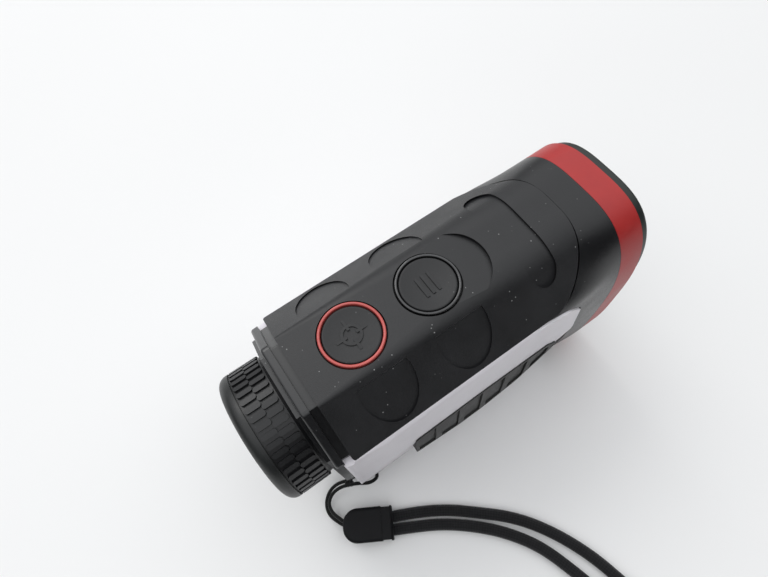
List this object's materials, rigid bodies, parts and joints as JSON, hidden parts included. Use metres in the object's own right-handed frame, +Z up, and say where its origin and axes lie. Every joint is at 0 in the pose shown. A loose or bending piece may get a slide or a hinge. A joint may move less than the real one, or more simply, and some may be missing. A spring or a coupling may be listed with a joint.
{
  "type": "laser rangefinder",
  "caption": "Handheld laser rangefinder with a turning eyepiece dial, press buttons on top, rubber side grips, a hinged battery door and a wrist strap.",
  "frame": {"origin": "middle of the body's footprint, on the surface it stands on, without the strap and lanyard", "axes": "+Z up from the base to the buttons, +Y forward along the line of sight from the eyepiece to the objective, +X to the right hand of someone looking through it"},
  "size_m": [0.1756, 0.107, 0.0745],
  "materials": {
    "shell_black": "fine grained matte",
    "shell_white": "satin",
    "barrel_gloss": "polished",
    "ring_red": "satin",
    "bezel": "satin",
    "grip_rubber": "matte",
    "frame_black": "satin",
    "dial": "satin",
    "eyecup": "smooth",
    "cell": "black anodised",
    "optic": "coated",
    "cap": "matte",
    "hoop_red": "satin",
    "hoop_dark": "dark chrome",
    "board": "solder mask",
    "chips": "moulded",
    "screws": "plated",
    "inner": "moulded",
    "diode": "plated",
    "spring": "plated",
    "battery": "sleeved",
    "gasket": "matte",
    "cord": "woven",
    "boot": "moulded"
  },
  "bodies": {
    "housing": {"top_shell": "shell_black", "right_shell": "shell_white", "left_shell": "shell_white", "front_barrel": "barrel_gloss", "red_ring": "ring_red", "front_bezel": "bezel", "right_grip": "grip_rubber", "left_grip": "grip_rubber", "rear_frame": "frame_black", "button_switches": "chips", "button_board": "board", "board_screws": "screws", "case_screws": "screws", "optical_chassis": "inner", "prism_block": "optic", "prism_holder": "inner", "display_frame": "inner", "display_glass": "optic", "receiver_module": "board", "lens_plate": "inner", "objective_lens": "optic", "objective_ring": "cell", "emitter_lens": "optic", "emitter_ring": "cell", "laser_module": "cell", "laser_diode": "diode", "main_board": "board", "board_parts": "chips", "battery_cradle": "inner", "battery": "battery", "contact_spring": "spring", "door_pin": "spring", "lanyard_cord": "cord", "lanyard_knot": "cord", "strap_boot": "boot", "wrist_strap": "cord"},
    "measure": {"measure_button": "cap", "measure_ring": "hoop_red"},
    "mode": {"mode_button": "cap", "mode_ring": "hoop_dark"},
    "dial": {"diopter_ring": "dial", "eyecup": "eyecup"},
    "ocular": {"ocular_cell": "cell", "ocular_lens": "optic", "ocular_retainer": "cell"},
    "door": {"battery_door": "frame_black", "door_gasket": "gasket", "contact_plate": "spring"}
  },
  "joints": [
    {"name": "measure_press", "type": "slide", "parent": "housing", "child": "measure", "axis": [0, 0, -1], "range_m": [0, 0.0008], "stiffness_N_per_m": 800, "springref_m": -0.001},
    {"name": "mode_press", "type": "slide", "parent": "housing", "child": "mode", "axis": [0, 0, -1], "range_m": [0, 0.0008], "stiffness_N_per_m": 800, "springref_m": -0.001},
    {"name": "diopter_turn", "type": "hinge", "parent": "housing", "child": "dial", "pos_m": [0, -0.046, 0.0497], "axis": [0, 1, 0], "range_deg": [-90, 90]},
    {"name": "ocular_focus", "type": "slide", "parent": "housing", "child": "ocular", "axis": [0, 1, 0], "range_m": [-0.00075, 0.00075]},
    {"name": "battery_door_hinge", "type": "hinge", "parent": "housing", "child": "door", "pos_m": [-0.012, -0.0424, 0.017], "axis": [0, 0, -1], "range_deg": [0, 110]}
  ],
  "couplings": [
    {"joint": "diopter_turn", "follows": "ocular_focus", "rad_per_m": 2094.4}
  ]
}
